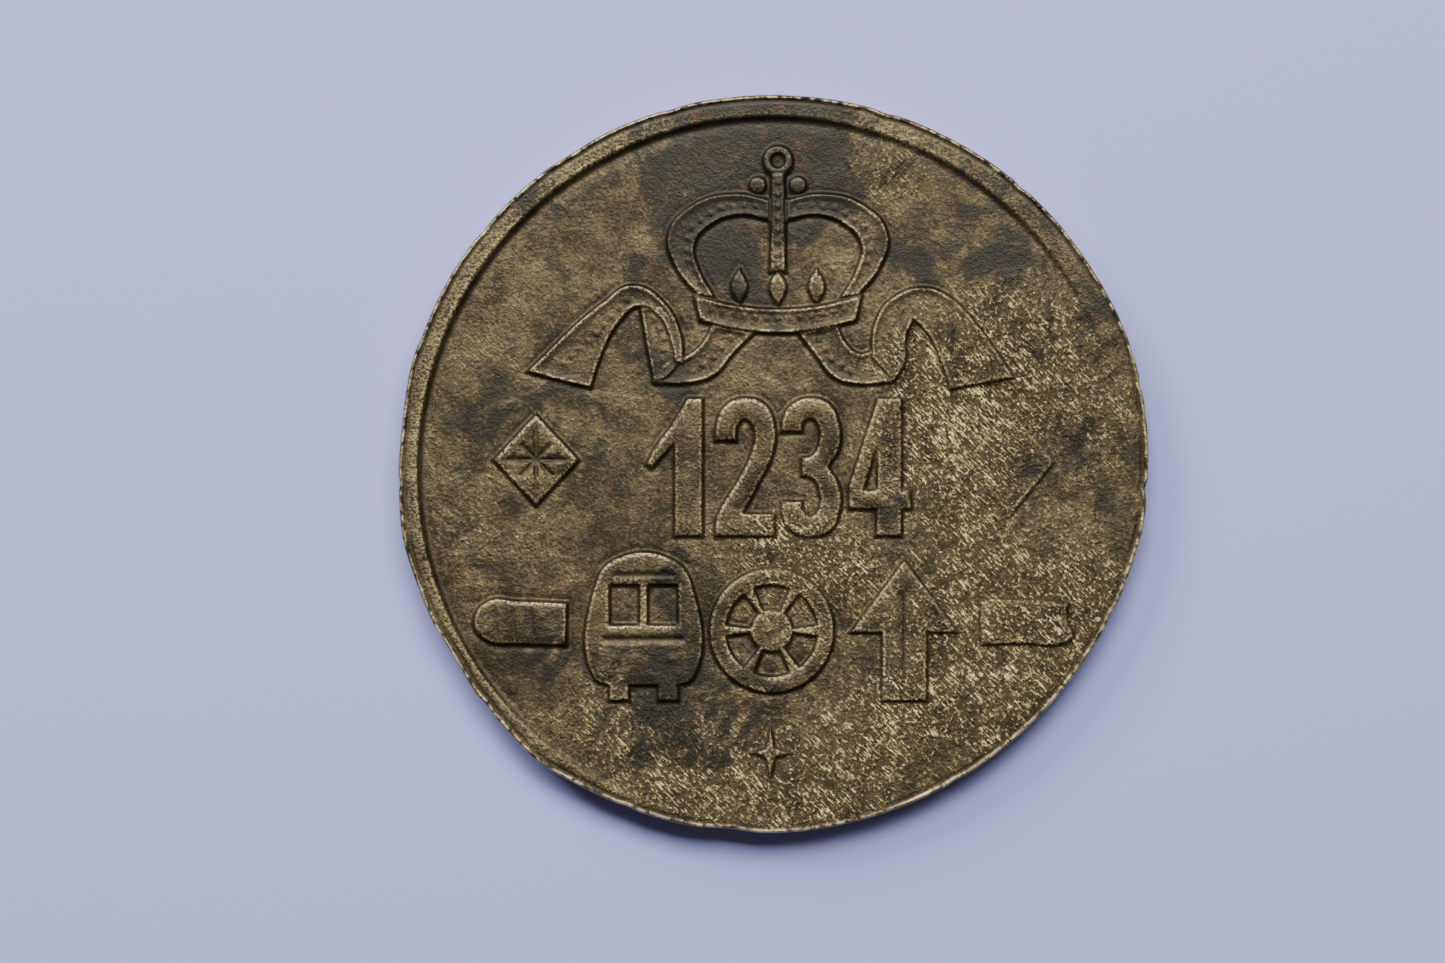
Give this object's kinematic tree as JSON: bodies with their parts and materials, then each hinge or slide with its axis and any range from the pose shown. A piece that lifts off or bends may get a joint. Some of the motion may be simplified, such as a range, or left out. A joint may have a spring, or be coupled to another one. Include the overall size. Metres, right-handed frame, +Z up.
{
  "type": "token",
  "caption": "Round struck brass token: an uneven raised rim, a crown with ribbons, plain numerals, a tram, a wheel, an arrow and small ornaments, and a wreath with a numeral on the back.",
  "frame": {"origin": "middle of the lower face, level with the reverse rim", "axes": "+Z up through the thickness towards the obverse, +Y to the top of the obverse device"},
  "size_m": [0.0292, 0.0288, 0.002],
  "materials": {
    "tarnished_brass": "tarnished"
  },
  "bodies": {
    "root": {"struck_disc": "tarnished_brass"}
  },
  "joints": []
}
